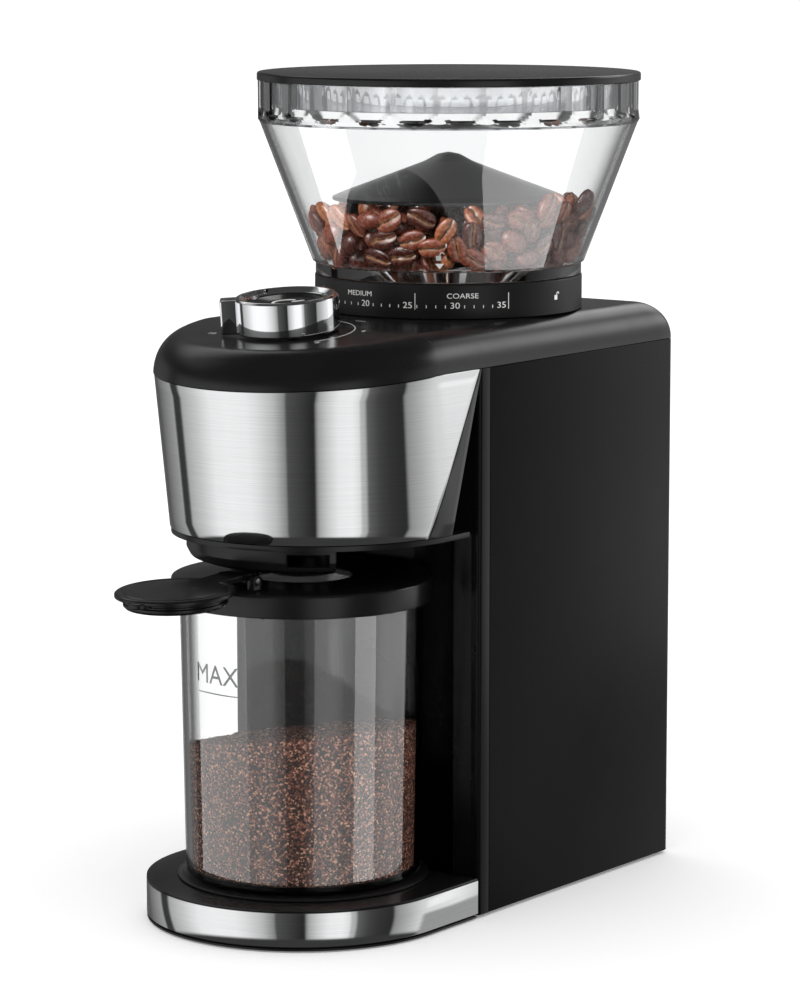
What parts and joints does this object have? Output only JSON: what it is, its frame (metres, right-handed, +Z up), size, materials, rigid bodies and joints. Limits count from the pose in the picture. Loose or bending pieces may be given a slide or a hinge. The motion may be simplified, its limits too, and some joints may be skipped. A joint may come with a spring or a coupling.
{
  "type": "burr coffee grinder",
  "caption": "Free-standing electric conical burr grinder with a clear bean hopper, timer knob, steel head, lidded container on a round-nosed base.",
  "frame": {"origin": "on the surface the grinder stands on, under the middle of its bounding box", "axes": "+Z up, the container and spout face -Y, +X to the right seen from the front"},
  "size_m": [0.158, 0.284, 0.335],
  "materials": {
    "black_plastic": "fine satin moulded black plastic",
    "gloss_black": "smooth glossy dark plastic",
    "brushed_steel": "stainless sheet, brushed level with the floor",
    "chrome": "polished chrome plating",
    "machined_steel": "turned and ground steel",
    "clear_plastic": "clear polished plastic",
    "rubber": "matt black rubber",
    "casting": "die casting, as cast",
    "nylon": "natural nylon",
    "circuit_board": "green circuit board with parts",
    "copper": "enamelled copper windings",
    "ferrite": "sintered ferrite"
  },
  "bodies": {
    "body": {"rear_housing": "black_plastic", "front_panel": "black_plastic", "top_cover": "black_plastic", "head_housing": "gloss_black", "steel_fascia": "brushed_steel", "head_bottom_cover": "black_plastic", "spout_shroud": "black_plastic", "grounds_chute": "black_plastic", "base_cover": "black_plastic", "base_trim_band": "brushed_steel", "base_plate": "black_plastic", "foot_front_left": "rubber", "foot_front_right": "rubber", "foot_rear_left": "rubber", "foot_rear_right": "rubber", "case_screw_1": "machined_steel", "case_screw_2": "machined_steel", "case_screw_3": "machined_steel", "case_screw_4": "machined_steel", "container_seat": "rubber", "cord_bushing": "rubber", "scale_collar": "black_plastic", "burr_chamber": "casting", "gearbox_case": "casting", "gearbox_lid": "casting", "lower_bearing": "machined_steel", "upper_bearing": "machined_steel", "intermediate_axle": "machined_steel", "motor_can": "machined_steel", "motor_end_cap": "nylon", "front_magnet": "ferrite", "back_magnet": "ferrite", "motor_bracket": "machined_steel", "control_board": "circuit_board", "timer_encoder": "black_plastic", "hopper_switch": "black_plastic"},
    "adjusting": {"adjusting_ring": "nylon"},
    "burr_carrier": {"upper_burr_carrier": "nylon", "ring_burr": "machined_steel"},
    "hopper": {"hopper_shell": "clear_plastic", "bean_deflector": "gloss_black"},
    "hopper_cover": {"hopper_lid": "black_plastic"},
    "knob": {"timer_knob": "chrome", "knob_shaft": "machined_steel", "button_spring": "machined_steel"},
    "button": {"start_button": "gloss_black"},
    "container": {"container_jar": "clear_plastic", "container_lid": "black_plastic", "cap_hinge_pin": "machined_steel"},
    "cap": {"flip_cap": "black_plastic"},
    "rotor": {"motor_shaft": "machined_steel", "armature": "copper", "motor_pinion": "machined_steel", "cooling_fan": "nylon"},
    "layshaft": {"intermediate_gear": "nylon"},
    "cone": {"burr_shaft": "machined_steel", "output_gear": "nylon", "cone_burr": "machined_steel", "burr_nut": "machined_steel", "grounds_impeller": "nylon"}
  },
  "joints": [
    {"name": "grind_setting", "type": "hinge", "parent": "body", "child": "adjusting", "pos_m": [0, 0.063, 0.24], "axis": [0, 0, 1], "range_deg": [-111, 57]},
    {"name": "burr_height", "type": "slide", "parent": "body", "child": "burr_carrier", "axis": [0, 0, 1], "range_m": [-0.00098, 0.00051]},
    {"name": "hopper_lift", "type": "slide", "parent": "adjusting", "child": "hopper", "axis": [0, 0, 1], "range_m": [0, 0.08]},
    {"name": "hopper_lid_lift", "type": "slide", "parent": "hopper", "child": "hopper_cover", "axis": [0, 0, 1], "range_m": [0, 0.06]},
    {"name": "timer_knob_turn", "type": "hinge", "parent": "body", "child": "knob", "pos_m": [0, -0.0452, 0.23629], "axis": [0, -0.0924, 0.9957], "range_deg": [0, 300]},
    {"name": "start_button_press", "type": "slide", "parent": "knob", "child": "button", "axis": [0, 0.0924, -0.9957], "range_m": [0, 0.002], "stiffness_N_per_m": 400, "springref_m": -0.002, "deforming": ["button_spring"]},
    {"name": "container_slide", "type": "slide", "parent": "body", "child": "container", "axis": [0, -1, 0], "range_m": [0, 0.15]},
    {"name": "flip_cap_turn", "type": "hinge", "parent": "container", "child": "cap", "pos_m": [0, -0.077, 0.142], "axis": [-1, 0, 0], "range_deg": [0, 182.5]},
    {"name": "motor_spin", "type": "hinge", "parent": "body", "child": "rotor", "pos_m": [0, 0.063, 0.1], "axis": [0, 0, 1], "continuous": true},
    {"name": "layshaft_spin", "type": "hinge", "parent": "body", "child": "layshaft", "pos_m": [0, 0.088, 0.15], "axis": [0, 0, 1], "continuous": true},
    {"name": "burr_spin", "type": "hinge", "parent": "body", "child": "cone", "pos_m": [0, 0.063, 0.19], "axis": [0, 0, 1], "continuous": true}
  ],
  "couplings": [
    {"joint": "burr_height", "follows": "grind_setting", "m_per_rad": 0.0005},
    {"joint": "flip_cap_turn", "follows": "container_slide", "rad_per_m": 21.235},
    {"joint": "layshaft_spin", "follows": "motor_spin", "ratio": -0.25},
    {"joint": "burr_spin", "follows": "motor_spin", "ratio": 0.083333}
  ]
}
